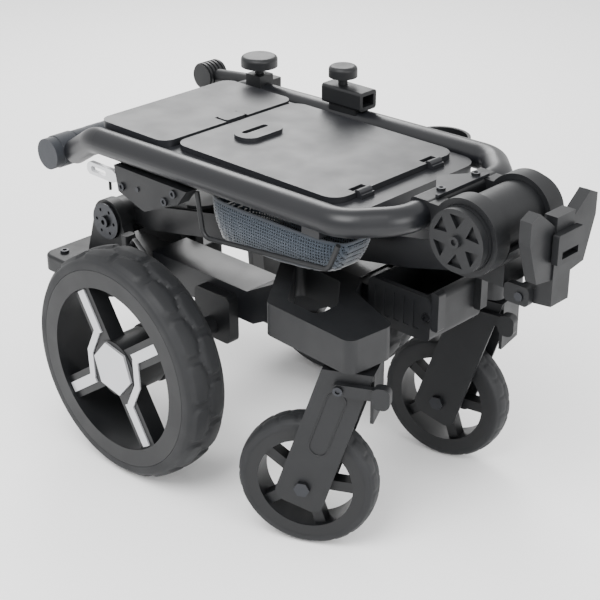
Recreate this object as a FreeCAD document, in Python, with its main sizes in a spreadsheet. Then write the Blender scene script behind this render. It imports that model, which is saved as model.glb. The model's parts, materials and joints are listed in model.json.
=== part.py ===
"""Folding four-wheel golf trolley, folded for transport: two large rear wheels, two swivelling front
wheels, a low chassis, a spine that swings up from the rear tower, and a handle frame with a console
that unfolds from the barrel hinge at the end of the spine.
X runs forward, Y to the trolley's left and Z up. Drafted from the rear axle's centre on the ground."""
import FreeCAD, Part

import math
import os

import Sketcher
from FreeCAD import Placement, Rotation, Vector

SIZES = {
    # rear wheels
    "rear_radius": 145.0, "rear_width": 60.0, "rear_track": 363.0, "rear_rim": 126.0, "rear_hole": 104.0,
    "spoke_depth": 22.0, "spoke_width": 30.0, "axle_radius": 6.0,
    # front wheels and their swivelling forks
    "front_radius": 82.0, "front_width": 34.0, "front_rim": 70.0, "front_hole": 56.0,
    "kingpin_x": 310.0, "kingpin_y": 122.0, "trail": 50.0, "fork_top": 238.0, "fork_width": 58.0,
    "fork_plate": 4.0, "fork_gap": 44.0, "right_yaw": 27.0, "left_yaw": 11.0,
    # chassis
    "tower_x": -190.0, "tower_z": 235.0, "tower_radius": 29.0, "chassis_width": 60.0,
    "chassis_height": 42.0, "chassis_z": 182.0, "casting_height": 40.0, "casting_top": 284.0,
    # spine
    "spine_width": 50.0, "spine_height": 34.0, "barrel_x": 401.0, "barrel_z": 392.0,
    "barrel_radius": 36.0, "barrel_length": 124.0,
    # handle frame and console
    "tube_radius": 16.0, "frame_half": 130.0, "frame_z": 391.0, "grip_x": -200.0, "grip_z": 348.0,
    "grip_radius": 20.0, "console_half": 112.0, "console_rear": -124.0, "console_front": 292.0,
    "console_top": 408.0, "console_depth": 26.0, "lid_rear": 6.0, "lid_front": 264.0,
    "lid_thickness": 7.0, "gap": 0.4,
}
UP, LEFT, FORWARD = Vector(0, 0, 1), Vector(0, 1, 0), Vector(1, 0, 0)

doc = FreeCAD.newDocument("golf_trolley")
sheet = doc.addObject("Spreadsheet::Sheet", "Sizes")
for row, (alias, size) in enumerate(SIZES.items(), 1):
    sheet.set(f"A{row}", str(size))
    sheet.setAlias(f"A{row}", alias)
doc.recompute()
NODES = []


def size(alias):
    """A driving dimension, read from the sheet."""
    return float(getattr(sheet, alias))


def keep(label, thing):
    """Names a finished sub-part and lists it for export."""
    thing.Label = label
    NODES.append(thing)
    return thing


def made(label, shape):
    """A sub-part whose shape comes from Part's own functions."""
    piece = doc.addObject("Part::Feature", label)
    piece.Shape = shape
    return keep(label, piece)


def bind(thing, **expressions):
    """Ties an object's sizes to the sheet."""
    for name, text in expressions.items():
        thing.setExpression(name, text)


def plane_of(body, role):
    """One of a body's own origin planes."""
    return next(feature for feature in body.Origin.OriginFeatures if feature.Role == role)


def outline(body, role, corners):
    """A closed sketch of straight lines on one of the body's planes. Each corner is a pair of
    expressions, and its distances from the sketch's origin are bound to them."""
    sketch = body.newObject("Sketcher::SketchObject", "Outline")
    sketch.AttachmentSupport = (plane_of(body, role), [""])
    sketch.MapMode = "FlatFace"
    at = [Vector(*(float(sheet.evalExpression(text)) for text in corner), 0) for corner in corners]
    for here, there in zip(at, at[1:] + at[:1]):
        sketch.addGeometry(Part.LineSegment(here, there), False)
    count = len(at)
    for index, corner in enumerate(corners):
        sketch.addConstraint(Sketcher.Constraint("Coincident", index, 2, (index + 1) % count, 1))
    for index, corner in enumerate(corners):
        for kind, text, far in zip(("DistanceX", "DistanceY"), corner, at[index]):
            named = sketch.addConstraint(Sketcher.Constraint(kind, -1, 1, index, 1, far))
            sketch.setExpression(f"Constraints[{named}]", text)
    return sketch


def padded(label, role, corners, length):
    """A prism: the outline, padded half of length to each side of its plane."""
    body = doc.addObject("PartDesign::Body", label)
    sketch = outline(body, role, corners)
    pad = body.newObject("PartDesign::Pad", "Pad")
    pad.Profile = sketch
    pad.SideType = "Symmetric"
    pad.setExpression("Length", length)
    doc.recompute()
    return body


def turned(label, corners):
    """A round piece: the outline of (radius, distance along the axis), revolved about the Y axis."""
    body = doc.addObject("PartDesign::Body", label)
    sketch = outline(body, "XY_Plane", corners)
    spin = body.newObject("PartDesign::Revolution", "Revolution")
    spin.Profile = sketch
    spin.ReferenceAxis = (sketch, ["V_Axis"])
    spin.Angle = 360
    doc.recompute()
    return body


def place(thing, x, y, z, yaw=0.0):
    """Puts a sub-part at a point, turned about the vertical."""
    thing.Placement = Placement(Vector(x, y, z), Rotation(UP, yaw))
    return thing


def rod(radius, start, end):
    """A plain round bar between two points."""
    along = end - start
    return Part.makeCylinder(radius, along.Length, start, along)


def slab(low, high, round_by=0.0, edges="Z"):
    """A box between two corners, with the edges along one axis rounded."""
    box = Part.makeBox(high.x - low.x, high.y - low.y, high.z - low.z, low)
    if not round_by:
        return box
    axis = {"X": FORWARD, "Y": LEFT, "Z": UP}.get(edges)
    chosen = [e for e in box.Edges if axis is None or abs(e.tangentAt(e.FirstParameter).dot(axis)) > 0.9]
    return box.makeFillet(round_by, chosen)


def prism(points, along):
    """A solid swept straight from a closed outline."""
    wire = Part.makePolygon(list(points) + [points[0]])
    return Part.Face(wire).extrude(along)


def rounded_path(points, radius):
    """Straight runs joined by tangent arcs of one radius."""
    edges, here = [], points[0]
    for before, corner, after in zip(points, points[1:], points[2:]):
        to_before, to_after = (before - corner).normalize(), (after - corner).normalize()
        half = math.acos(max(-1.0, min(1.0, to_before.dot(to_after)))) / 2
        reach = radius / math.tan(half)
        first, last = corner + to_before * reach, corner + to_after * reach
        middle_way = (to_before + to_after).normalize()
        middle = corner + middle_way * (radius / math.sin(half) - radius)
        edges += [Part.LineSegment(here, first).toShape(), Part.Arc(first, middle, last).toShape()]
        here = last
    edges.append(Part.LineSegment(here, points[-1]).toShape())
    return Part.Wire(edges)


def pipe(path, radius):
    """A round bar along a path."""
    start = path.Edges[0]
    ring = Part.makeCircle(radius, start.valueAt(start.FirstParameter), start.tangentAt(start.FirstParameter))
    return path.makePipeShell([Part.Wire([ring])], True, True)


def screw(at, direction, radius, length, head_radius, head):
    """A socket-head screw whose head sits at a point, on the surface that it clamps."""
    shank = rod(radius, at, at - direction * length)
    top = rod(head_radius, at, at + direction * head)
    socket = rod(head_radius * 0.5, at + direction * head * 0.4, at + direction * (head + 1))
    return shank.fuse(top).cut(socket)


# ---- rear wheels: tyre, spoked rim, silver inlays and hexagonal hub plate

R, W = size("rear_radius"), size("rear_width")
WHEEL_Y = size("rear_track") / 2


def spoked_rim(rim, hole, width, depth, spoke, angles, hub, bore):
    """A rim ring with spokes in its outer face, about the Y axis. The outer face is at -Y."""
    ring = rod(rim, Vector(0, -width / 2, 0), Vector(0, width / 2, 0))
    ring = ring.cut(rod(hole, Vector(0, -width, 0), Vector(0, width, 0)))
    centre = rod(hub, Vector(0, -width / 2 + 5, 0), Vector(0, width / 2 - 4, 0))
    whole = ring.fuse(centre)
    for angle in angles:
        arm = slab(Vector(0, -width / 2 + 6, -spoke / 2), Vector((rim + hole) / 2, -width / 2 + 6 + depth, spoke / 2))
        arm.rotate(Vector(), LEFT, -angle)
        whole = whole.fuse(arm)
    return whole.cut(rod(bore, Vector(0, -width, 0), Vector(0, width, 0))).removeSplitter()


def inlay(angle, away, inner, outer, width, thick):
    """A flat strip that lies along one spoke."""
    arm = slab(Vector(inner, -thick, -width / 2), Vector(outer, 0, width / 2))
    arm.rotate(Vector(), LEFT, -angle)
    arm.translate(Vector(0, away, 0))
    return arm


SPOKE_ANGLES = (35.0, 122.0, 215.0, 302.0)
TREAD_CROWN = 5.0


def rear_wheel(side, sign):
    centre = Vector(0, sign * WHEEL_Y, R)
    tyre = turned(f"rear_tyre_{side}", [
        ("Sizes.rear_rim + Sizes.gap", "-Sizes.rear_width / 2"), ("Sizes.rear_radius - 7", "-Sizes.rear_width / 2"),
        ("Sizes.rear_radius - 2", "-Sizes.rear_width / 2 + 8"), ("Sizes.rear_radius", "-Sizes.rear_width / 4"),
        ("Sizes.rear_radius", "Sizes.rear_width / 4"), ("Sizes.rear_radius - 2", "Sizes.rear_width / 2 - 8"),
        ("Sizes.rear_radius - 7", "Sizes.rear_width / 2"), ("Sizes.rear_rim + Sizes.gap", "Sizes.rear_width / 2")])
    keep(f"rear_tyre_{side}", place(tyre, centre.x, centre.y, centre.z))
    rim = spoked_rim(size("rear_rim"), size("rear_hole"), W, size("spoke_depth"), size("spoke_width"),
                     SPOKE_ANGLES, 36.0, size("axle_radius") + 7.0)
    face = -W / 2 + 6
    strips = [inlay(angle, face - 0.1, 46.0, 102.0, 13.0, 2.0) for angle in SPOKE_ANGLES]
    for low, high in ((1, 2), (3, 0)):
        middle = math.radians((SPOKE_ANGLES[low] + SPOKE_ANGLES[high] + (360 if high < low else 0)) / 2)
        joint = Vector(49 * math.cos(middle), face - 0.1, 49 * math.sin(middle))
        for angle in (SPOKE_ANGLES[low], SPOKE_ANGLES[high]):
            tip = Vector(56 * math.cos(math.radians(angle)), face - 0.1, 56 * math.sin(math.radians(angle)))
            low_tip, low_joint = (Vector(p.x * 0.8, p.y, p.z * 0.8) for p in (tip, joint))
            strips.append(prism([joint, tip, low_tip, low_joint], Vector(0, -2, 0)))
    turns = [math.radians(-11 + 60 * k) for k in range(6)]
    plate = prism([Vector(34 * math.cos(a), 4.9 - W / 2, 34 * math.sin(a)) for a in turns], Vector(0, -3, 0))
    bush = rod(size("axle_radius") + 7.0 - 0.05, Vector(0, -W / 2 + 10, 0), Vector(0, W / 2 - 4, 0)).cut(
        rod(size("axle_radius") + 0.05, Vector(0, -W, 0), Vector(0, W, 0)))
    for label, shape in (("rear_rim", rim), ("spoke_inlays", Part.makeCompound(fused_islands(strips))),
                         ("hub_plate", plate), ("rear_bearing", bush)):
        piece = made(f"{label}_{side}", shape)
        turn = Rotation(UP, 0 if sign < 0 else 180)
        piece.Placement = Placement(centre, turn)


def fused_islands(pieces):
    """Pieces that overlap become one solid each."""
    whole = pieces[0].fuse(pieces[1:]).removeSplitter()
    return whole.Solids


rear_wheel("right", -1)
rear_wheel("left", 1)

# ---- front wheels in their swivelling forks

FR, FW = size("front_radius"), size("front_width")
TOP = size("fork_top")


def front_wheel(side, sign, yaw):
    king = Vector(size("kingpin_x"), sign * size("kingpin_y"), 0)
    turn = Rotation(UP, yaw)
    trail = size("trail")
    place_fork = Placement(king, turn)
    tyre = turned(f"front_tyre_{side}", [
        ("Sizes.front_rim + Sizes.gap", "-Sizes.front_width / 2"), ("Sizes.front_radius - 4", "-Sizes.front_width / 2"),
        ("Sizes.front_radius", "-Sizes.front_width / 4"), ("Sizes.front_radius", "Sizes.front_width / 4"),
        ("Sizes.front_radius - 4", "Sizes.front_width / 2"), ("Sizes.front_rim + Sizes.gap", "Sizes.front_width / 2")])
    centre = king + turn.multVec(Vector(-trail, 0, FR))
    keep(f"front_tyre_{side}", tyre).Placement = Placement(centre, turn)
    rim = spoked_rim(size("front_rim"), size("front_hole"), FW, 16.0, 13.0, (0.0, 72.0, 144.0, 216.0, 288.0),
                     15.0, size("axle_radius") + 0.05)
    made(f"front_rim_{side}", rim).Placement = Placement(centre, turn)
    gap, plate, half = size("fork_gap") / 2, size("fork_plate"), size("fork_width") / 2
    down = Vector(-trail, 0, FR - TOP).normalize()
    across = Vector(-down.z, 0, down.x)
    low = Vector(-trail, 0, FR) + down * 26
    cheek = [low + across * half, low - across * half, Vector(-half, 0, TOP), Vector(half, 0, TOP)]
    sides = []
    for face in (-gap - plate, gap):
        leg = prism([p + Vector(0, face, 0) for p in cheek], Vector(0, plate, 0))
        corners = [e for e in leg.Edges if abs(e.tangentAt(e.FirstParameter).y) > 0.9
                   and e.CenterOfMass.z < FR]
        sides.append(leg.makeFillet(13.0, corners))
    crown = slab(Vector(-half, -gap - plate, TOP - 8), Vector(half, gap + plate, TOP), 6.0)
    back_shield = slab(Vector(half - 4, -gap - 0.1, FR + 95), Vector(half, gap + 0.1, TOP - 0.1))
    fork = crown.fuse(sides + [back_shield])
    fork = fork.cut(rod(size("axle_radius") + 0.05, Vector(-trail, -60, FR), Vector(-trail, 60, FR)))
    made(f"fork_{side}", fork.removeSplitter()).Placement = place_fork
    pin = rod(9.0, Vector(0, 0, TOP), Vector(0, 0, TOP + 34)).fuse(rod(16.0, Vector(0, 0, TOP), Vector(0, 0, TOP + 4)))
    made(f"kingpin_{side}", pin).Placement = place_fork
    reach = gap + plate
    bolt = rod(size("axle_radius"), Vector(-trail, -reach - 1, FR), Vector(-trail, reach + 1, FR))
    for face, way in ((-reach, -1), (reach, 1)):
        head = prism([Vector(-trail + 9.5 * math.cos(k * math.pi / 3), face, FR + 9.5 * math.sin(k * math.pi / 3))
                      for k in range(6)], Vector(0, way * 5, 0))
        bolt = bolt.fuse(head)
    made(f"front_axle_bolt_{side}", bolt.removeSplitter()).Placement = place_fork
    lever = slab(Vector(-15, -reach - 8, TOP - 26), Vector(34, -reach - 1, TOP - 12), 5.0, "Y")
    knob = slab(Vector(30, -reach - 13, TOP - 33), Vector(50, -reach - 1, TOP - 7), 8.0, "Y")
    lever = lever.fuse(knob).cut(rod(3.08, Vector(-8, -90, TOP - 19), Vector(-8, 0, TOP - 19)))
    made(f"swivel_lock_{side}", lever.removeSplitter()).Placement = place_fork
    made(f"lock_screw_{side}", screw(Vector(-8, -reach - 8.3, TOP - 19), Vector(0, -1, 0), 3.0, 8.3, 5.5, 3.0)
         ).Placement = place_fork


front_wheel("right", -1, size("right_yaw"))
front_wheel("left", 1, size("left_yaw"))

# ---- chassis: base plate, hinge tower, beam, axle, front casting

TX, TZ, TR = size("tower_x"), size("tower_z"), size("tower_radius")
CZ, CH, CW = size("chassis_z"), size("chassis_height"), size("chassis_width") / 2
BEAM_TOP = CZ + CH / 2
base = slab(Vector(TX - 82, -104, CZ - 24), Vector(TX + 62, 104, CZ - 2), 16.0)
base = base.makeFillet(4.0, [e for e in base.Edges if e.CenterOfMass.z > CZ - 3])
made("base_block", base)
beam = padded("chassis_beam", "XZ_Plane", [
    ("Sizes.tower_x + 62.1", "Sizes.chassis_z - Sizes.chassis_height / 2"),
    ("60", "Sizes.chassis_z - Sizes.chassis_height / 2"), ("215", "Sizes.casting_top - Sizes.casting_height"),
    ("230", "Sizes.casting_top - 4"), ("190", "Sizes.casting_top - 4"),
    ("50", "Sizes.chassis_z + Sizes.chassis_height / 2"),
    ("Sizes.tower_x + 62.1", "Sizes.chassis_z + Sizes.chassis_height / 2")], "Sizes.chassis_width")
keep("chassis_beam", beam)
cheeks = []
for face in (-52.0, 36.0):
    web = prism([Vector(TX - 46, face, CZ - 2), Vector(TX + 52, face, CZ - 2), Vector(TX + TR, face, TZ),
                 Vector(TX - TR, face, TZ)], Vector(0, 16, 0))
    cheeks.append(web.fuse(rod(TR, Vector(TX, face, TZ), Vector(TX, face + 16, TZ))))
tower = Part.makeCompound([c.cut(rod(8.05, Vector(TX, -99, TZ), Vector(TX, 99, TZ))).removeSplitter() for c in cheeks])
made("hinge_tower", tower)
made("tower_pin", rod(8.0, Vector(TX, -52, TZ), Vector(TX, 52, TZ)))
caps = []
for face, way in ((-52.0, -1), (52.0, 1)):
    disc = rod(TR - 4, Vector(TX, face + way * 0.1, TZ), Vector(TX, face + way * 5, TZ))
    for k in range(6):
        at = Vector(TX + 17 * math.cos(k * math.pi / 3), 0, TZ + 17 * math.sin(k * math.pi / 3))
        disc = disc.cut(rod(2.2, at + Vector(0, face + way * 3, 0), at + Vector(0, face + way * 9, 0)))
    boss = rod(8.0, Vector(TX, face + way * 5, TZ), Vector(TX, face + way * 9, TZ))
    caps.append(disc.fuse(boss).cut(rod(3.5, Vector(TX, face + way * 6, TZ), Vector(TX, face + way * 12, TZ))))
made("tower_caps", Part.makeCompound(caps))
made("base_screws", Part.makeCompound([
    screw(Vector(TX - 60, y, CZ - 2), UP, 3.0, 12.0, 6.0, 3.5) for y in (-82.0, 82.0)]))
for name in ("base_block",):
    block = next(n for n in NODES if n.Label == name)
    block.Shape = block.Shape.cut([rod(3.0, Vector(TX - 60, y, CZ - 14), Vector(TX - 60, y, CZ)) for y in (-82.0, 82.0)])
axle_half = WHEEL_Y + W / 2 - 22
hangers = []
for y in (-CW - 16, CW):
    hanger = slab(Vector(-30, y, R - 18), Vector(34, y + 16, CZ + 10), 8.0, "Y")
    hangers.append(hanger.cut(rod(size("axle_radius") + 0.05, Vector(0, -99, R), Vector(0, 99, R))))
made("axle_hangers", Part.makeCompound(hangers))
made("rear_axle", rod(size("axle_radius"), Vector(0, -axle_half, R), Vector(0, axle_half, R)))
drums = []
for sign in (-1, 1):
    inner = sign * (WHEEL_Y - W / 2 - 3)
    drum = rod(38.0, Vector(0, inner, R), Vector(0, inner - sign * 14, R)).fuse(
        slab(Vector(4, min(inner, inner - sign * 12), R + 20), Vector(30, max(inner, inner - sign * 12), R + 52), 5.0, "Y"))
    drum = drum.fuse(rod(12.0, Vector(0, inner - sign * 14, R), Vector(0, sign * 46.2, R)))
    drums.append(drum.cut(rod(size("axle_radius") + 0.05, Vector(0, -300, R), Vector(0, 300, R))).removeSplitter())
made("brake_drums", Part.makeCompound(drums))

KX, KY = size("kingpin_x"), size("kingpin_y")
CT, CB = size("casting_top"), size("casting_top") - size("casting_height")


def wing(sign):
    """One side of the front casting: a tapered ring from the beam out to the kingpin's boss."""
    outer = [Vector(118, sign * (CW + 0.2), CB), Vector(205, sign * 150, CB), Vector(KX + 26, sign * 158, CB),
             Vector(KX + 32, sign * 96, CB), Vector(258, sign * 62, CB), Vector(240, sign * (CW + 0.2), CB)]
    inner = [Vector(152, sign * 48, CB), Vector(218, sign * 130, CB), Vector(266, sign * 134, CB),
             Vector(266, sign * 100, CB), Vector(228, sign * 54, CB)]
    shell = prism(outer, Vector(0, 0, CT - CB))
    shell = shell.makeFillet(12.0, [e for e in shell.Edges if abs(e.tangentAt(e.FirstParameter).z) > 0.9
                                    and abs(e.CenterOfMass.y) > CW + 5])
    hole = prism(inner, Vector(0, 0, CT - CB))
    hole = hole.makeFillet(8.0, [e for e in hole.Edges if abs(e.tangentAt(e.FirstParameter).z) > 0.9])
    shell = shell.cut(hole)
    boss = rod(24.0, Vector(KX, sign * KY, TOP + 0.6), Vector(KX, sign * KY, CB + 4))
    ring = shell.fuse(boss).cut(rod(9.05, Vector(KX, sign * KY, TOP - 5), Vector(KX, sign * KY, TOP + 35)))
    return ring.cut(rod(16.1, Vector(KX, sign * KY, TOP - 5), Vector(KX, sign * KY, TOP + 4.5))).removeSplitter()


bridge = slab(Vector(230.2, -CW, CB + 2), Vector(262, CW, CT - 6))
made("casting_wings", Part.makeCompound([wing(-1), wing(1)]))
made("casting_bridge", bridge)
carrier = slab(Vector(262.2, -45, 246), Vector(352, 45, 300), 8.0, "Y")
carrier = carrier.cut(slab(Vector(272, -38, 256), Vector(342, 38, 310)))
grooves = [slab(Vector(272 + 14 * k, y, 258), Vector(280 + 14 * k, y + 2, 292)) for k in range(5) for y in (-46.0, 44.0)]
made("bag_foot", carrier.cut(grooves).removeSplitter())
hooks = [slab(Vector(352.1, y, 262), Vector(362, y + 12, 308), 3.0, "Y") for y in (-44.0, 32.0)]
made("bag_foot_hooks", Part.makeCompound(hooks))
made("bag_foot_screw", screw(Vector(346.5, -45.1, 276), Vector(0, -1, 0), 2.0, 0.05, 5.0, 4.0))

# ---- brake cables: from the tower, over the rear wheels' inner side, down to the drums

CABLE_RADIUS = 3.0
for side, sign in (("right", -1), ("left", 1)):
    points = [Vector(TX + 58.5, sign * 62, TZ - 13), Vector(TX + 100, sign * 90, TZ + 15),
              Vector(17, sign * (WHEEL_Y - W / 2 - 10), TZ + 15), Vector(17, sign * (WHEEL_Y - W / 2 - 10), R + 52.2)]
    made(f"brake_cable_{side}", pipe(rounded_path(points, 24.0), CABLE_RADIUS))
stops = []
for sign in (-1, 1):
    stop = slab(Vector(TX + 44, sign * 60 - 8, CZ - 1.9), Vector(TX + 55.9, sign * 60 + 8, TZ - 2), 3.0, "Z")
    stops.append(stop)
made("cable_stops", Part.makeCompound(stops))

# ---- spine with its knuckle, bag rest and barrel

SW, SH = size("spine_width"), size("spine_height")
BX, BZ, BR = size("barrel_x"), size("barrel_z"), size("barrel_radius")
BL = size("barrel_length") / 2
knuckle = rod(TR - 3, Vector(TX, -35.6, TZ), Vector(TX, 35.6, TZ)).cut(rod(8.05, Vector(TX, -99, TZ), Vector(TX, 99, TZ)))
neck = slab(Vector(TX + TR - 8, -SW / 2, TZ - 8), Vector(TX + 44, SW / 2, TZ + 22), 4.0, "X")
knuckle = knuckle.fuse(neck.cut(rod(TR - 3.5, Vector(TX, -99, TZ), Vector(TX, 99, TZ)))).removeSplitter()
made("spine_knuckle", knuckle)
spine = padded("spine_tube", "XZ_Plane", [
    ("Sizes.tower_x + 44.1", "Sizes.tower_z - 8"), ("120", "Sizes.tower_z + 46"),
    ("Sizes.barrel_x - 96", "Sizes.barrel_z - 76"), ("Sizes.barrel_x - 30", "Sizes.barrel_z - 58"),
    ("Sizes.barrel_x - 30", "Sizes.barrel_z - 26"), ("Sizes.barrel_x - 110", "Sizes.barrel_z - 76 + Sizes.spine_height"),
    ("120", "Sizes.tower_z + 46 + Sizes.spine_height"),
    ("Sizes.tower_x + 44.1", "Sizes.tower_z - 8 + Sizes.spine_height")], "Sizes.spine_width")
keep("spine_tube", spine)
cup = rod(BR + 7, Vector(BX, -34, BZ), Vector(BX, 34, BZ)).fuse(
    slab(Vector(BX - 29.8, -SW / 2, BZ - 58), Vector(BX + 30, SW / 2, BZ - 20)))
cup = cup.cut([rod(BR + 0.1, Vector(BX, -99, BZ), Vector(BX, 99, BZ)),
               slab(Vector(BX - 80, -99, BZ - 12), Vector(BX + 80, 99, BZ + 80)),
               slab(Vector(BX - 80, -99, BZ - 80), Vector(BX - 29.8, 99, BZ + 80))])
made("barrel_cradle", cup.removeSplitter())
barrel = doc.addObject("Part::Cylinder", "barrel")
bind(barrel, Radius="Sizes.barrel_radius", Height="Sizes.barrel_length")
keep("barrel", barrel).Placement = Placement(Vector(BX, BL, BZ), Rotation(FORWARD, 90))
caps = []
for way in (-1, 1):
    cap = rod(BR - 1, Vector(BX, way * (BL + 0.1), BZ), Vector(BX, way * (BL + 9), BZ))
    windows = []
    for k in range(6):
        angle = math.radians(30 + 60 * k)
        fan = [Vector(BX + r * math.cos(angle + a), way * (BL + 4), BZ + r * math.sin(angle + a))
               for r, a in ((14, 0), (30, -0.33), (30, 0.33))]
        windows.append(prism(fan, Vector(0, way * 9, 0)))
    caps.append(cap.cut(windows))
made("barrel_caps", Part.makeCompound(caps))
made("barrel_screws", Part.makeCompound([
    screw(Vector(BX, way * (BL + 9.1), BZ), Vector(0, way, 0), 3.0, 0.05, 6.5, 4.0) for way in (-1, 1)]))


def rest_bottom(x):
    """Height of the spine's upper face, with a hair's clearance."""
    return TZ - 8 + SH + (x - TX - 44.1) * 54 / (75.9 - TX) + 0.15


trough = (Vector(-166, 0, 441), Vector(-20, 0, 441))
rest = rod(150.0, *trough).cut(rod(146.0, *trough))
rest = rest.common(slab(Vector(-166, -62, 280), Vector(-20, 62, 310)))
foot = prism([Vector(-138, -20, rest_bottom(-138)), Vector(-50, -20, rest_bottom(-50)), Vector(-50, -20, 294),
              Vector(-138, -20, 294)], Vector(0, 40, 0)).cut(rod(149.0, Vector(-200, 0, 441), Vector(0, 0, 441)))
made("bag_rest", rest.fuse(foot).removeSplitter())
loop = rounded_path([Vector(-168.2, -40, 284), Vector(-168.2, -40, 312), Vector(-168.2, -62, 312),
                     Vector(-168.2, -62, 288)], 6.0)
made("strap_ring", pipe(loop, 2.0))

# ---- upper bag cradle, on its own pivot ahead of the barrel

PX, PZ = BX + 50, BZ - 62
ears = [slab(Vector(BX + 30.2, y, PZ - 10), Vector(PX + 12, y + 8, PZ + 12), 6.0, "Y") for y in (-24.0, 16.0)]
ears = [ear.cut(rod(5.05, Vector(PX, -99, PZ), Vector(PX, 99, PZ))) for ear in ears]
made("cradle_ears", Part.makeCompound(ears))
made("cradle_pin", rod(5.0, Vector(PX, -26, PZ), Vector(PX, 26, PZ)))
arm = rod(11.0, Vector(PX, -15.6, PZ), Vector(PX, 15.6, PZ)).fuse(
    prism([Vector(PX, -15.6, PZ - 8), Vector(PX + 34, -15.6, PZ - 4), Vector(PX + 34, -15.6, PZ + 96),
           Vector(PX + 18, -15.6, PZ + 96), Vector(PX + 14, -15.6, PZ + 10), Vector(PX, -15.6, PZ + 8)], Vector(0, 31.2, 0)))
made("cradle_arm", arm.cut(rod(5.4, Vector(PX, -99, PZ), Vector(PX, 99, PZ))).removeSplitter())
horns = []
for sign in (-1, 1):
    flat = [Vector(PX + 18, sign * 15.8, PZ + 26), Vector(PX + 18, sign * 15.8, PZ + 86),
            Vector(PX + 18, sign * 44, PZ + 108), Vector(PX + 18, sign * 58, PZ + 102),
            Vector(PX + 18, sign * 58, PZ + 78), Vector(PX + 18, sign * 42, PZ + 30)]
    horns.append(prism(flat, Vector(14, 0, 0)))
made("cradle_horns", Part.makeCompound(horns))
buckle = slab(Vector(PX + 34.2, -22, PZ + 46), Vector(PX + 42, 22, PZ + 80), 3.0, "X")
made("cradle_buckle", buckle.cut(slab(Vector(PX + 30, -14, PZ + 52), Vector(PX + 50, 14, PZ + 60))))

# ---- handle frame: knuckle on the barrel, two side tubes, crossbar with a foam grip

FY, FZ, TUBE = size("frame_half"), size("frame_z"), size("tube_radius")
GX, GZ, GR = size("grip_x"), size("grip_z"), size("grip_radius")
knuckle = slab(Vector(BX - 72, -58, BZ - 6), Vector(BX - 44.5, 58, BZ + 27), 6.0, "Y")
for y in (-58.0, 36.0):
    ring = rod(BR + 7, Vector(BX, y, BZ), Vector(BX, y + 22, BZ))
    knuckle = knuckle.fuse([ring, slab(Vector(BX - 56, y, BZ - 6), Vector(BX - 20, y + 22, BZ + 26))])
knuckle = knuckle.cut(rod(BR + 0.4, Vector(BX, -99, BZ), Vector(BX, 99, BZ)))
made("frame_knuckle", knuckle.removeSplitter())
chevron = prism([Vector(BX - 84, 0, BZ + 27.1), Vector(BX - 50, -44, BZ + 27.1), Vector(BX - 46, -44, BZ + 27.1),
                 Vector(BX - 46, 44, BZ + 27.1), Vector(BX - 50, 44, BZ + 27.1)], Vector(0, 0, 3))
made("knuckle_plate", chevron)
made("knuckle_screws", Part.makeCompound([
    screw(Vector(BX - 54, y, BZ + 30.2), UP, 2.5, 0.05, 5.0, 3.0) for y in (-30.0, 30.0)]))
for side, sign in (("right", -1), ("left", 1)):
    points = [Vector(BX - 60, sign * 58.2, BZ + 9), Vector(BX - 60, sign * 84, BZ + 9),
              Vector(BX - 104, sign * FY, BZ + 7), Vector(-105, sign * FY, FZ),
              Vector(GX + 26, sign * 108, GZ + 4)]
    made(f"frame_tube_{side}", pipe(rounded_path(points, 42.0), TUBE))
crossbar = doc.addObject("Part::Cylinder", "crossbar")
bind(crossbar, Radius="Sizes.grip_radius - 7", Height="2 * (Sizes.frame_half - 4)")
keep("crossbar", crossbar).Placement = Placement(Vector(GX, FY - 4, GZ), Rotation(FORWARD, 90))
grip = turned("grip_sleeve", [
    ("Sizes.grip_radius - 6.9", "-Sizes.frame_half + 35"), ("Sizes.grip_radius", "-Sizes.frame_half + 35"),
    ("Sizes.grip_radius", "Sizes.frame_half - 35"), ("Sizes.grip_radius - 6.9", "Sizes.frame_half - 35")])
keep("grip_sleeve", place(grip, GX, 0, GZ))
yokes, ends = [], []
for sign in (-1, 1):
    collar = rod(GR + 1, Vector(GX, sign * 95.2, GZ), Vector(GX, sign * 121, GZ))
    yokes.append(collar.cut(rod(GR - 6.95, Vector(GX, -199, GZ), Vector(GX, 199, GZ))))
    end = rod(GR, Vector(GX, sign * 121.2, GZ), Vector(GX, sign * 134, GZ))
    ends.append(end.cut(rod(GR - 6.9, Vector(GX, sign * 110, GZ), Vector(GX, sign * 126.1, GZ))))
tubes = [n.Shape for n in NODES if n.Label.startswith("frame_tube_")]
made("grip_yokes", Part.makeCompound([yoke.cut(tubes) for yoke in yokes]))
made("grip_ends", Part.makeCompound(ends))

# ---- console: tub, lid, rear cover, clip and latch

CHALF, CREAR, CFRONT = size("console_half"), size("console_rear"), size("console_front")
CTOP, CDEEP = size("console_top"), size("console_depth")
LREAR, LFRONT, LID = size("lid_rear"), size("lid_front"), size("lid_thickness")
FLOOR = CTOP - LID - CDEEP
tub = slab(Vector(CREAR, -CHALF, FLOOR), Vector(CFRONT, CHALF, CTOP - LID), 26.0)
tub = tub.cut(slab(Vector(LREAR + 6, -CHALF + 18, FLOOR + 4), Vector(LFRONT - 14, CHALF - 18, CTOP), 14.0))
made("console_tub", tub)
lid = slab(Vector(LREAR, -CHALF + 9, CTOP - LID + 0.3), Vector(LFRONT, CHALF - 9, CTOP), 20.0)
lid = lid.cut([slab(Vector(LFRONT - 12, y - 11, CTOP - 20), Vector(LFRONT + 9, y + 11, CTOP + 9)) for y in (-60.0, 60.0)])
made("console_lid", lid)
lugs = []
for y in (-60.0, 60.0):
    lug = rod(4.5, Vector(LFRONT + 1, y - 10, CTOP - 2), Vector(LFRONT + 1, y + 10, CTOP - 2))
    stand = slab(Vector(LFRONT - 8, y - 10, CTOP - LID + 0.1), Vector(LFRONT + 8, y + 10, CTOP - 2))
    lugs.append(lug.fuse(stand).removeSplitter())
made("lid_hinges", Part.makeCompound(lugs))
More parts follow.
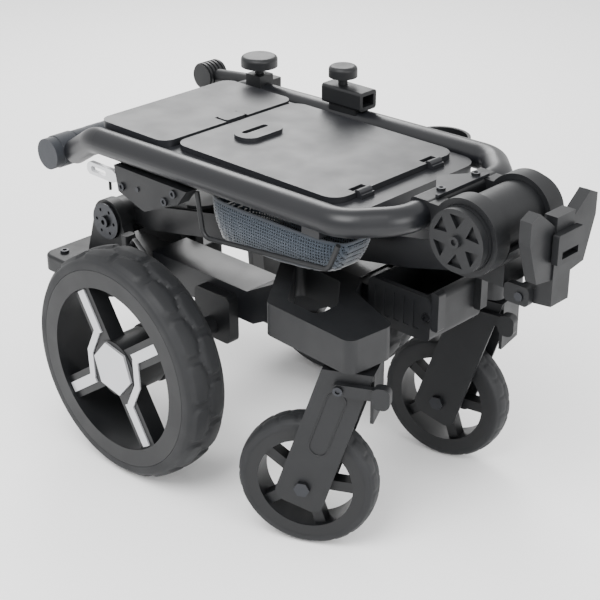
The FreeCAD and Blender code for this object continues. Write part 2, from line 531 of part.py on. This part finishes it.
cover = slab(Vector(CREAR + 6, -CHALF - 2, CTOP - LID + 0.1), Vector(LREAR - 3, CHALF - 8, CTOP + 2), 16.0)
made("console_cover", cover.cut(slab(Vector(-18, -14, CTOP - 20), Vector(9, 22, CTOP + 9))))
latch = slab(Vector(-16, -12, CTOP - LID + 0.1), Vector(2, 20, CTOP + 3), 4.0)
made("lid_latch", latch)
clip = slab(Vector(40, -46, CTOP + 0.1), Vector(76, 18, CTOP + 5), 16.0)
made("lid_clip", clip.cut(slab(Vector(48, -34, CTOP - 9), Vector(56, 6, CTOP + 9), 3.5)))
made("console_screws", Part.makeCompound([
    screw(Vector(x, y, FLOOR - 0.1), Vector(0, 0, -1), 2.5, 0.05, 5.0, 3.0)
    for x in (CREAR + 24, CFRONT - 24) for y in (-CHALF + 24, CHALF - 24)]))
saddles = []
for x in (-70.0, 230.0):
    for sign in (-1, 1):
        inner, outer = sorted((sign * (CHALF - 6), sign * (FY - 9.5)))
        saddles.append(slab(Vector(x, inner, FLOOR - 9.2), Vector(x + 26, outer, FLOOR - 0.1)))
made("console_saddles", Part.makeCompound([s.cut(tubes) for s in saddles]))

# ---- brake lever in its housing under the right-hand tube

HY = -FY
plate = prism([Vector(-62, HY - 9, FZ - TUBE - 3), Vector(66, HY - 9, FZ - TUBE - 3), Vector(50, HY - 9, 352),
               Vector(-10, HY - 9, 326), Vector(-56, HY - 9, 340)], Vector(0, 18, 0))
slot = slab(Vector(-80, HY - 3.4, 330), Vector(-8, HY + 3.4, 371))
made("brake_housing", plate.cut([slot, rod(3.05, Vector(-20, HY - 20, 352), Vector(-20, HY + 20, 352))]).removeSplitter())
made("brake_pin", rod(3.0, Vector(-20, HY - 10.5, 352), Vector(-20, HY + 10.5, 352)))
made("housing_screws", Part.makeCompound([
    screw(Vector(x, HY - 9.1, z), Vector(0, -1, 0), 2.5, 0.05, 5.0, 2.5) for x, z in ((-48, 348), (28, 350), (44, 364))]))
lever = prism([Vector(-14, HY - 3, 358), Vector(-70, HY - 3, 357), Vector(-70, HY - 3, 347), Vector(-14, HY - 3, 345)],
              Vector(0, 6, 0))
paddle = slab(Vector(-122, HY - 3, 344), Vector(-68, HY + 3, 360), 7.0, "Y")
paddle = paddle.cut(slab(Vector(-114, HY - 9, 348.5), Vector(-86, HY + 9, 355.5), 3.0, "Y"))
made("brake_lever", lever.fuse(paddle).cut(rod(3.1, Vector(-20, -199, 352), Vector(-20, 0, 352))).removeSplitter())

# ---- net pocket with its rod, and the accessories on the left-hand tube

net = prism([Vector(72, -122, FLOOR - 10), Vector(286, -122, FLOOR - 10), Vector(272, -122, FLOOR - 40),
             Vector(86, -122, FLOOR - 62)], Vector(0, 72, 0))
made("net_pocket", net)
rail = rounded_path([Vector(71, -127, FLOOR - 4), Vector(80, -127, FLOOR - 58), Vector(276, -127, FLOOR - 36),
                     Vector(290, -127, FLOOR - 4)], 12.0)
made("net_rail", pipe(rail, 3.0))
post = slab(Vector(40, FY - 15, FZ + TUBE + 6), Vector(104, FY + 15, FZ + TUBE + 30), 4.0, "X")
post = post.cut(slab(Vector(46, FY - 10, FZ + TUBE + 11), Vector(120, FY + 10, FZ + TUBE + 25)))
seat = slab(Vector(50, FY - 12, FZ - 4), Vector(94, FY + 12, FZ + TUBE + 6)).cut(tubes)
made("post_bracket", post.fuse(max(seat.Solids, key=lambda s: s.BoundBox.ZMax)).removeSplitter())


def mushroom(x, y, z, radius):
    """A knob with a thin stem, standing at a point."""
    stem = rod(6.0, Vector(x, y, z), Vector(x, y, z + 12))
    dome = rod(radius, Vector(x, y, z + 10), Vector(x, y, z + 24))
    dome = dome.makeFillet(5.0, [e for e in dome.Edges if e.CenterOfMass.z > z + 23])
    return stem.fuse(dome).removeSplitter()


made("post_knob", mushroom(62, FY, FZ + TUBE + 30.2, 18.0))
clamp = rod(TUBE + 1.5, Vector(-100, FY, FZ - 0.1), Vector(-70, FY, FZ - 0.1))
clamp = clamp.fuse(slab(Vector(-98, FY - 12, FZ + 10), Vector(-72, FY + 12, FZ + TUBE + 12))).cut(tubes)
made("holder_clamp", max(clamp.Solids, key=lambda s: s.Volume))
made("holder_knob", mushroom(-85, FY, FZ + TUBE + 12.2, 24.0))
boom = rod(9.0, Vector(-100.3, FY + 26, FZ + 6), Vector(-190, FY + 26, FZ - 4)).fuse(
    slab(Vector(-100.3, FY + 17, FZ - 4), Vector(-80, FY + 35, FZ + 16))).cut(tubes)
boom = boom.cut(rod(TUBE + 1.6, Vector(-110, FY, FZ - 0.1), Vector(-60, FY, FZ - 0.1)))
made("holder_boom", max(boom.Solids, key=lambda s: s.Volume))
head = rod(17.0, Vector(-208, FY + 10, FZ - 6), Vector(-208, FY + 42, FZ - 6))
rings = [rod(18.5, Vector(-208, FY + y, FZ - 6), Vector(-208, FY + y + 3, FZ - 6)) for y in (12, 18, 24, 30, 36)]
head = head.fuse(rings).cut(rod(9.1, Vector(-100.3, FY + 26, FZ + 6), Vector(-190.2, FY + 26, FZ - 4)))
made("holder_head", head.removeSplitter())
CUP = Vector(176, FY + 55, FZ - 50)
cup = rod(37.0, CUP, CUP + UP * 42).cut(rod(33.0, CUP + UP * 4, CUP + UP * 60))
lug = slab(Vector(160, FY - 2, FZ - 14), Vector(192, FY + 24, FZ - 9)).cut(tubes)
lug = max(lug.Solids, key=lambda s: s.BoundBox.YMax).cut(rod(36.0, CUP, CUP + UP * 60))
made("cup_holder", cup.fuse(lug).removeSplitter())

# ---- small pieces of one body that share a material are filed as one sub-part

FILED_TOGETHER = {
    "chassis_screws": ["base_screws", "bag_foot_screw"], "tower_hinge_pin": ["tower_pin", "tower_caps"],
    "bag_bracket": ["bag_foot", "bag_foot_hooks"], "front_casting": ["casting_wings", "casting_bridge"],
    "tower": ["hinge_tower", "cable_stops"], "brake_cables": ["brake_cable_right", "brake_cable_left"],
    "barrel_end_caps": ["barrel_caps", "barrel_screws"], "barrel_saddle": ["barrel_cradle", "cradle_ears"],
    "bag_cradle": ["cradle_arm", "cradle_horns"], "frame_tubes": ["frame_tube_right", "frame_tube_left"],
    "handle_screws": ["knuckle_screws", "console_screws", "housing_screws", "brake_pin"],
    "console_body": ["console_tub", "console_saddles"], "grip_fittings": ["grip_yokes", "grip_ends"],
    "holder_arm": ["holder_clamp", "holder_boom"], "console_top": ["console_lid", "lid_clip"],
    "lid_fittings": ["lid_hinges", "lid_latch"], "bag_rest_assembly": ["bag_rest", "strap_ring"],
}
for side in ("right", "left"):
    FILED_TOGETHER[f"wheel_inlays_{side}"] = [f"spoke_inlays_{side}", f"hub_plate_{side}"]
    FILED_TOGETHER[f"fork_pins_{side}"] = [f"kingpin_{side}", f"front_axle_bolt_{side}", f"lock_screw_{side}"]
for label, members in FILED_TOGETHER.items():
    group = doc.addObject("Part::Compound", label)
    group.Links = [node for node in NODES if node.Label in members]
    NODES = [node for node in NODES if node.Label not in members]
    keep(label, group)

# ---- origin: the middle of the whole, on the ground

doc.recompute()
bounds = [node.Shape.optimalBoundingBox() for node in NODES]
shift = Vector((min(b.XMin for b in bounds) + max(b.XMax for b in bounds)) / 2,
               (min(b.YMin for b in bounds) + max(b.YMax for b in bounds)) / 2, min(b.ZMin for b in bounds))
shift = Vector(round(shift.x, 2), round(shift.y, 2), round(shift.z, 2))
for node in NODES:
    node.Placement = Placement(-shift, Rotation()).multiply(node.Placement)
doc.recompute()
print("shift", tuple(shift), "nodes", len(NODES))

for thing in doc.Objects:
    if any(state in ("Invalid", "Error") for state in thing.State):
        raise RuntimeError(f"{thing.Label} did not recompute: {thing.State}")
os.makedirs("parts", exist_ok=True)
for node in NODES:
    if node.Shape.isNull() or not node.Shape.isValid() or not node.Shape.Solids:
        raise RuntimeError(f"{node.Label} has no valid solid")
    node.Shape.exportStep(f"parts/{node.Label}.step")
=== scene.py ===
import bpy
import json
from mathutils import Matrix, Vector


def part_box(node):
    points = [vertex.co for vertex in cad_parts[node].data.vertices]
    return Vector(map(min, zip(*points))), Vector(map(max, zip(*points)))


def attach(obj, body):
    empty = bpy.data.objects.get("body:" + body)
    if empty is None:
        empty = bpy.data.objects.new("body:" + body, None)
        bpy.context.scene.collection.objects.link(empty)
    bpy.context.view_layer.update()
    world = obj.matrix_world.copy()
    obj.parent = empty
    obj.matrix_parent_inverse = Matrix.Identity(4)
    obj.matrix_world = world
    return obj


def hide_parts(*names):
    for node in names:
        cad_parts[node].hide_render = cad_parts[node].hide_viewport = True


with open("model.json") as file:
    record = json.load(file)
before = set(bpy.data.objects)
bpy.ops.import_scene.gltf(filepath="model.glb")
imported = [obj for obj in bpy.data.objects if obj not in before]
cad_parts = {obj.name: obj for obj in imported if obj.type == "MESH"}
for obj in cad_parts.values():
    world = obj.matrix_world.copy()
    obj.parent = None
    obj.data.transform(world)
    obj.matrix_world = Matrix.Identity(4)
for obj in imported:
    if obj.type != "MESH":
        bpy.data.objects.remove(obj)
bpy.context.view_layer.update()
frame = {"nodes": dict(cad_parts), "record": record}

# %% [markdown]
# A folded golf trolley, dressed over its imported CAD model. The CAD pieces stay where they are and take
# bevels and materials. Tyres, foam grip and net pocket are soft or finely patterned, so they get
# meshes of their own that stand for their CAD nodes.

# %% Imports and sizes
import json
import math

import bpy
import numpy as np
from mathutils import Vector

MM = 0.001
nodes = frame["nodes"]
slots = {entry["node"]: entry["material_slot"] for entry in frame["record"]["subparts"]}
print(len(nodes), "CAD nodes,", len(set(slots.values())), "finishes")

# %% [markdown]
# One small function adds a shader node with its settings and links, so that each material below reads
# as a short recipe. Colours are given as sRGB hex, as a colour picker shows them, and turned into the
# linear values that the renderer works in.

# %% Node helper and colours


def linear(code):
    """sRGB hex to a linear colour."""
    parts = [int(code[i:i + 2], 16) / 255 for i in (1, 3, 5)]
    return [c / 12.92 if c <= 0.04045 else ((c + 0.055) / 1.055) ** 2.4 for c in parts] + [1.0]


def add(tree, kind, inputs=(), **settings):
    """A shader node. Each input is a (socket, value) pair, and a socket as value makes a link."""
    made = tree.nodes.new(kind)
    for name, value in settings.items():
        setattr(made, name, value)
    for socket, value in inputs:
        if isinstance(value, bpy.types.NodeSocket):
            tree.links.new(value, made.inputs[socket])
        else:
            made.inputs[socket].default_value = value
    return made


def surface(name, colour, roughness, metallic=0.0, sheen=0.0):
    """A material with its uniform values set on the shader. Returns it, its tree, shader and position."""
    material = bpy.data.materials.new(name)
    material.use_nodes = True
    tree = material.node_tree
    shader = tree.nodes["Principled BSDF"]
    uniform = {"Base Color": linear(colour), "Roughness": roughness, "Metallic": metallic,
               "Sheen Weight": sheen, "Specular IOR Level": 0.35}
    for socket, value in uniform.items():
        shader.inputs[socket].default_value = value
    place = add(tree, "ShaderNodeTexCoord").outputs["Object"]
    return material, tree, shader, place


def grain(tree, shader, place, size_mm, depth_mm):
    """Fine moulded or cast grain: noise bumps of one real size."""
    noise = add(tree, "ShaderNodeTexNoise",
                [("Vector", place), ("Scale", 1 / (size_mm * MM)), ("Detail", 3.0)])
    bump = add(tree, "ShaderNodeBump", [("Height", noise.outputs["Fac"]), ("Distance", depth_mm * MM),
                                        ("Strength", 0.6)])
    tree.links.new(bump.outputs["Normal"], shader.inputs["Normal"])


def vary(tree, shader, place, size_mm, low, high):
    """Slow changes of roughness over a surface, as handling and moulding leave them."""
    noise = add(tree, "ShaderNodeTexNoise",
                [("Vector", place), ("Scale", 1 / (size_mm * MM)), ("Detail", 4.0)])
    spread = add(tree, "ShaderNodeMapRange", [("Value", noise.outputs["Fac"]), ("From Min", 0.35),
                                              ("From Max", 0.65), ("To Min", low), ("To Max", high)])
    tree.links.new(spread.outputs["Result"], shader.inputs["Roughness"])


# %% [markdown]
# The trolley is nearly all black, so the finishes are told apart by gloss and grain: satin powder coat
# on the tubes, smoother satin plastic on the console, coarser nylon on the castings, dull rubber on
# the tyres. Each grain has its real size in millimetres.

# %% Hard finishes
finishes = {}


def finish(slot, name, colour, roughness, grain_mm, depth_mm, patch_mm, spread, **more):
    """One of the record's finishes: its gloss, its grain, and the size of its duller and glossier patches."""
    material, tree, shader, place = surface(name, colour, roughness, **more)
    grain(tree, shader, place, grain_mm, depth_mm)
    vary(tree, shader, place, patch_mm, roughness - spread, roughness + spread)
    finishes[slot] = material


finish("black_tube", "satin_black_powder_coat", "#131417", 0.36, 0.9, 0.05, 60, 0.04)
finish("console_plastic", "satin_black_abs", "#1e1f22", 0.42, 0.5, 0.03, 45, 0.04)
finish("cast_plastic", "grained_black_nylon", "#131416", 0.48, 0.8, 0.08, 35, 0.05)
finish("wheel_plastic", "black_wheel_nylon", "#0f1012", 0.44, 0.7, 0.05, 40, 0.05)
finish("tyre", "tyre_rubber", "#18191b", 0.62, 0.6, 0.06, 30, 0.06)
finish("foam", "grip_foam", "#1a1e25", 0.85, 0.7, 0.25, 20, 0.04, sheen=0.3)
finish("silver_trim", "satin_silver_paint", "#bcbdc0", 0.34, 0.4, 0.015, 30, 0.04, metallic=0.55)
finish("lever", "pale_silver_paint", "#cfd0d2", 0.36, 0.4, 0.015, 20, 0.03, metallic=0.35)
finish("screw_steel", "blackened_steel", "#3a3b3e", 0.34, 0.4, 0.02, 8, 0.06, metallic=0.9)
finish("cable", "black_cable_jacket", "#141416", 0.32, 0.8, 0.02, 15, 0.04)
print(sorted(finishes))

# %% [markdown]
# A woven net is mostly air. Two crossed sets of waves give the threads, and what lies between them is
# let through, so the pocket reads as mesh at any distance without thousands of real threads.

# %% Net


THREAD_PITCH = 3.6 * MM
WAVE_UNITS = 20


def thread(tree, place, direction):
    """Bands at the threads' real spacing. A wave texture runs 20 radians for each unit of its scale."""
    scale = 2 * math.pi / (WAVE_UNITS * THREAD_PITCH)
    wave = add(tree, "ShaderNodeTexWave", [("Vector", place), ("Scale", scale)],
               wave_type="BANDS", bands_direction=direction)
    return wave.outputs["Fac"]


def net_material():
    material, tree, shader, place = surface("blue_grey_net", "#222c37", 0.78, sheen=0.4)
    threads = [(0, thread(tree, place, "X")), (1, thread(tree, place, "Z"))]
    crossing = add(tree, "ShaderNodeMath", threads, operation="MAXIMUM")
    solid = add(tree, "ShaderNodeMapRange", [("Value", crossing.outputs["Value"]), ("From Min", 0.55),
                                             ("From Max", 0.75), ("To Min", 0.25), ("To Max", 1.0)])
    tree.links.new(solid.outputs["Result"], shader.inputs["Alpha"])
    return material


finishes["net"] = net_material()
edging, tree, shader, place = surface("woven_edging", "#262c34", 0.8, sheen=0.4)
grain(tree, shader, place, 1.2, 0.2)
print("net and edging")

# %% [markdown]
# Most CAD pieces get a narrow bevel, because no moulded or machined edge is perfectly sharp and the
# thin highlights along edges are what make a black object readable. The brake cables and frame tubes
# stay unbevelled. Smooth shading by angle keeps flat faces flat.

# %% Dress the CAD pieces
WIDER = {"front_casting": 5.0, "bag_cradle": 4.0, "brake_housing": 3.0, "chassis_beam": 5.0,
         "spine_tube": 4.0}
NO_BEVEL = ("brake_cables", "frame_tubes")
EDGE_ANGLE = math.radians(35)
BEVELS = {"black_tube": 0.5, "console_plastic": 1.2, "cast_plastic": 1.2, "wheel_plastic": 1.0,
          "silver_trim": 0.4, "lever": 1.2, "screw_steel": 0.3, "foam": 2.0, "tyre": 1.0}


def dress(name, obj):
    slot = slots[name]
    obj.data.materials.clear()
    obj.data.materials.append(finishes[slot])
    obj.data.shade_smooth()
    width = WIDER.get(name, BEVELS.get(slot, 0))
    if width and name not in NO_BEVEL:
        bevel = obj.modifiers.new("edge", "BEVEL")
        bevel.width = width * MM
        bevel.segments = 2
        bevel.limit_method = "ANGLE"
        bevel.angle_limit = EDGE_ANGLE
        flats = obj.modifiers.new("flats", "WEIGHTED_NORMAL")
        flats.keep_sharp = True
    else:
        obj.data.set_sharp_from_angle(angle=EDGE_ANGLE)


for name, obj in nodes.items():
    dress(name, obj)
print("dressed", len(nodes))

# %% [markdown]
# A tyre is a ring of cross-sections. Its height over the axis changes with the angle and with the
# place across the tread, so raised blocks come from one formula. A cut pattern could be modelled
# block by block, but a formula keeps every block equal and the mesh closed.

# %% Meshes from rings


def ring_mesh(name, profile, steps, height=None):
    """A closed solid of revolution about Y. profile holds (radius, y) pairs all round the section."""
    section = np.array(profile)
    turn = np.linspace(0, 2 * math.pi, steps, endpoint=False)
    radius = np.repeat(section[None, :, 0], steps, axis=0)
    across = np.repeat(section[None, :, 1], steps, axis=0)
    if height is not None:
        radius = radius + height(turn[:, None], across, radius)
    points = np.stack([radius * np.cos(turn)[:, None], across, radius * np.sin(turn)[:, None]], axis=-1)
    count = len(section)
    faces = [(i * count + j, i * count + (j + 1) % count, (i + 1) % steps * count + (j + 1) % count,
              (i + 1) % steps * count + j) for i in range(steps) for j in range(count)]
    mesh = bpy.data.meshes.new(name)
    mesh.from_pydata(points.reshape(-1, 3).tolist(), [], faces)
    mesh.shade_smooth()
    mesh.set_sharp_from_angle(angle=math.radians(50))
    obj = bpy.data.objects.new(name, mesh)
    bpy.context.scene.collection.objects.link(obj)
    return obj


def centre_of(name):
    low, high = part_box(name)
    return (Vector(low) + Vector(high)) / 2


WALL_SHARE = 0.42
SHOULDER_SQUARENESS = 0.42
TREAD_BAND = 16 * MM


def tyre_profile(inner, outer, half, crown, points=26):
    """An inner flat, side walls, rounded shoulders and a slightly crowned tread."""
    tread = []
    for t in np.linspace(0, math.pi, points):
        y = -half * math.cos(t)
        rise = WALL_SHARE + (1 - WALL_SHARE) * abs(math.sin(t)) ** SHOULDER_SQUARENESS
        tread.append((inner + (outer - inner) * rise - crown * (y / half) ** 2, y))
    return [(inner, -half), *tread, (inner, half)]


def lug_height(blocks, depth, half):
    """Two staggered rows of long oval blocks. What lies between the blocks is sunk by the depth."""
    row_middle, row_reach, block_reach = 0.42, 0.36, 0.42
    edge_start, edge_slope = 1.15, 4

    def height(turn, across, radius):
        blocks_here = np.zeros(np.broadcast(turn, across).shape)
        for row, shift in ((-row_middle, 0.0), (row_middle, 0.5)):
            phase = (turn * blocks / (2 * math.pi) + shift) % 1.0 - 0.5
            side = (across / half - row) / row_reach
            oval = np.abs(phase / block_reach) ** 4 + np.abs(side) ** 4
            raised = np.clip((edge_start - oval) * edge_slope, 0, 1) * depth
            blocks_here = np.maximum(blocks_here, raised)
        return (blocks_here - depth) * (radius > radius.max() - TREAD_BAND)

    return height


# %% [markdown]
# The big rear tyres have deep blocks and the small front ones only shallow marks. The front tyres are
# turned about the vertical, as their swivelling forks stand.

# %% Tyres
RIM_GAP = 0.4 * MM
HALF_WIDTH = {"rear": 30.0 * MM, "front": 17.0 * MM}
RIM_RADIUS = {"rear": 126.0 * MM, "front": 70.0 * MM}
FORK_TURN = {"right": math.radians(27.0), "left": math.radians(11.0)}


def tyre(side, end, body, steps, blocks, depth, turn=0.0):
    name = f"{end}_tyre_{side}"
    low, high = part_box(name)
    outer = (high[2] - low[2]) / 2
    half = HALF_WIDTH[end]
    profile = tyre_profile(RIM_RADIUS[end] + RIM_GAP, outer, half, 1.5 * MM)
    obj = ring_mesh(f"{name}_tread", profile, steps, lug_height(blocks, depth * MM, half))
    obj.location = centre_of(name)
    obj.rotation_euler.z = turn
    obj.data.materials.append(finishes["tyre"])
    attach(obj, body)
    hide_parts(name)


for side, turn in FORK_TURN.items():
    tyre(side, "rear", f"rear_wheel_{side}", steps=480, blocks=16, depth=2.6)
    tyre(side, "front", f"front_wheel_{side}", steps=300, blocks=22, depth=0.8, turn=turn)
print("four tyres")

# %% [markdown]
# Foam is cut to length and pushed over the bar, so its ends are rounded and its surface is slightly
# uneven. It is a ring mesh as well, with small bumps along it.

# %% Foam grip


GRIP_HALF, GRIP_OUTER, GRIP_INNER, GRIP_EDGE = 95.0, 19.6, 13.1, 4.0
GRIP_SKIN = 16 * MM


def foam_height(turn, across, radius):
    ripple = 0.12 * np.sin(across * 190 + 3 * turn) + 0.08 * np.sin(across * 410 - 2 * turn)
    return ripple * MM * (radius > GRIP_SKIN)


def grip():
    corner = [(GRIP_OUTER - GRIP_EDGE + GRIP_EDGE * math.sin(a), GRIP_EDGE * (1 - math.cos(a)))
              for a in np.linspace(0, math.pi / 2, 6)]
    start = [(GRIP_INNER, -GRIP_HALF)] + [(r, -GRIP_HALF + inset) for r, inset in corner]
    middle = [(GRIP_OUTER, y) for y in np.linspace(-GRIP_HALF + 6, GRIP_HALF - 6, 60)]
    end = [(r, GRIP_HALF - inset) for r, inset in reversed(corner)] + [(GRIP_INNER, GRIP_HALF)]
    section = [(r * MM, y * MM) for r, y in start + middle + end]
    obj = ring_mesh("foam_grip", section, 72, foam_height)
    obj.location = centre_of("grip_sleeve")
    obj.data.materials.append(finishes["foam"])
    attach(obj, "handle")
    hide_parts("grip_sleeve")


grip()
print("foam grip")

# %% [markdown]
# The net pocket hangs from the console's underside and from a wire rail. Its walls belly outward and
# its floor sags, with small pleats where the cloth is gathered at the hem. Grid points are moved by
# formulas, which keeps the pocket inside the space that its CAD solid holds.

# %% Net pocket


POCKET_STEPS, POCKET_ROWS = 90, 26
PLEAT, PLEAT_COUNT = 0.9 * MM, 34
CLOTH = 0.6 * MM


def squared(value):
    """Bends a circle's sine or cosine towards a rounded rectangle's."""
    return math.copysign(abs(value) ** 0.45, value)


def pocket_point(low, high, step, drop):
    """A point on the cloth: step counts round the pocket, and drop runs from 0 at the hem to 1."""
    angle = 2 * math.pi * step / POCKET_STEPS
    narrow = 1 - 0.16 * drop ** 1.5
    belly = 0.9 + 0.08 * math.sin(drop * math.pi)
    x = (low.x + high.x) / 2 + (high.x - low.x) / 2 * narrow * squared(math.cos(angle)) * 0.985
    y = (low.y + high.y) / 2 + (high.y - low.y) / 2 * squared(math.sin(angle)) * belly
    pleat = PLEAT * drop * math.sin(angle * PLEAT_COUNT)
    along = (x - low.x - 0.04) / (high.x - low.x)
    depth = (high.z - low.z) * (0.72 + 0.2 * math.cos(along * 2.2))
    return x + pleat, y + pleat, high.z - drop * depth


def pocket():
    low, high = (Vector(corner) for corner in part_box("net_pocket"))
    points = [pocket_point(low, high, step, row / (POCKET_ROWS - 1))
              for row in range(POCKET_ROWS) for step in range(POCKET_STEPS)]
    faces = []
    for row in range(POCKET_ROWS - 1):
        for step in range(POCKET_STEPS):
            here = row * POCKET_STEPS + step
            beyond = row * POCKET_STEPS + (step + 1) % POCKET_STEPS
            faces.append((here, beyond, beyond + POCKET_STEPS, here + POCKET_STEPS))
    bottom = points[-POCKET_STEPS:]
    last, base = len(points), (POCKET_ROWS - 1) * POCKET_STEPS
    points.append((sum(p[0] for p in bottom) / POCKET_STEPS, (low.y + high.y) / 2, min(p[2] for p in points)))
    faces += [(base + step, base + (step + 1) % POCKET_STEPS, last) for step in range(POCKET_STEPS)]
    mesh = bpy.data.meshes.new("net_pocket_cloth")
    mesh.from_pydata(points, [], faces)
    mesh.materials.append(finishes["net"])
    mesh.materials.append(edging)
    for face in mesh.polygons:
        row = face.index // POCKET_STEPS
        face.material_index = 1 if row < 2 or row > POCKET_ROWS - 4 else 0
    mesh.shade_smooth()
    obj = bpy.data.objects.new("net_pocket_cloth", mesh)
    bpy.context.scene.collection.objects.link(obj)
    thick = obj.modifiers.new("cloth", "SOLIDIFY")
    thick.thickness = CLOTH
    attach(obj, "handle")
    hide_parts("net_pocket")


pocket()
print("net pocket")

# %% [markdown]
# Each fork's outer plate carries a raised long oval. A closed curve with a round section follows the
# plate's slope, which is simpler than cutting the plate and leaves the CAD piece alone.

# %% Raised ovals on the forks


FORK_TRAIL, FORK_RISE = 50 * MM, 156 * MM
OVAL_UP, OVAL_HALF, OVAL_RADIUS, OVAL_POINTS = 92 * MM, 32 * MM, 11 * MM, 48
FORK_FACE = 26.3 * MM


def fork_oval(side, yaw):
    outward = -1 if side == "right" else 1
    forward = Vector((math.cos(yaw), math.sin(yaw), 0))
    sideways = Vector((-math.sin(yaw), math.cos(yaw), 0))
    slope = (forward * FORK_TRAIL + Vector((0, 0, FORK_RISE))).normalized()
    across = sideways.cross(slope)
    middle = centre_of(f"front_tyre_{side}") + slope * OVAL_UP + sideways * outward * FORK_FACE
    curve = bpy.data.curves.new(f"fork_oval_{side}", "CURVE")
    curve.dimensions = "3D"
    curve.bevel_depth = 0.9 * MM
    line = curve.splines.new("POLY")
    line.points.add(OVAL_POINTS - 1)
    for index, point in enumerate(line.points):
        turn = 2 * math.pi * index / OVAL_POINTS
        run = OVAL_HALF if math.sin(turn) > 0 else -OVAL_HALF
        along = slope * (run + OVAL_RADIUS * math.sin(turn))
        point.co = (*(middle + along + across * OVAL_RADIUS * math.cos(turn)), 1.0)
    line.use_cyclic_u = True
    curve.materials.append(finishes["cast_plastic"])
    obj = bpy.data.objects.new(f"fork_oval_{side}", curve)
    bpy.context.scene.collection.objects.link(obj)
    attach(obj, f"caster_{side}")


for side, turn in FORK_TURN.items():
    fork_oval(side, turn)
print("fork ovals")

# %% [markdown]
# A pale floor, three large soft lights and a bright surround give the even light of a product picture.
# The long lens and the height over the object set how much the lines converge.

# %% Floor, light and camera
floor_mesh = bpy.data.meshes.new("floor")
floor_mesh.from_pydata([(-6, -6, 0), (6, -6, 0), (6, 6, 0), (-6, 6, 0)], [], [(0, 1, 2, 3)])
floor = bpy.data.objects.new("floor", floor_mesh)
floor.location.z = -0.5 * MM
bpy.context.scene.collection.objects.link(floor)
floor_mesh.materials.append(surface("pale_floor", "#ffffff", 0.9)[0])

world = bpy.data.worlds.new("studio")
bpy.context.scene.world = world
world.use_nodes = True
world.node_tree.nodes["Background"].inputs["Color"].default_value = (1.0, 1.0, 1.0, 1.0)
world.node_tree.nodes["Background"].inputs["Strength"].default_value = 1.45

TARGET = Vector((-2.0, -0.85, 198.9)) * MM


def soft_light(name, position, size, power):
    light = bpy.data.lights.new(name, "AREA")
    light.size = size
    light.energy = power
    obj = bpy.data.objects.new(name, light)
    obj.location = position
    obj.rotation_euler = (TARGET - obj.location).to_track_quat("-Z", "Y").to_euler()
    bpy.context.scene.collection.objects.link(obj)


soft_light("key", Vector((0.3, -1.3, 1.9)), 1.2, 50)
soft_light("back", Vector((-1.4, 1.2, 1.5)), 1.0, 30)
soft_light("side", Vector((1.8, -0.3, 0.9)), 0.9, 18)

azimuth, elevation, distance = math.radians(43.73), math.radians(26.26), 1816.6 * MM
toward = Vector((math.sin(azimuth) * math.cos(elevation), -math.cos(azimuth) * math.cos(elevation),
                 math.sin(elevation)))
camera_data = bpy.data.cameras.new("camera")
camera_data.lens = 88.1
camera_data.sensor_width = 36
camera = bpy.data.objects.new("camera", camera_data)
camera.location = TARGET + toward * distance
camera.rotation_euler = (-toward).to_track_quat("-Z", "Y").to_euler()
bpy.context.scene.collection.objects.link(camera)
bpy.context.scene.camera = camera
print("camera", [round(v, 3) for v in camera.location])
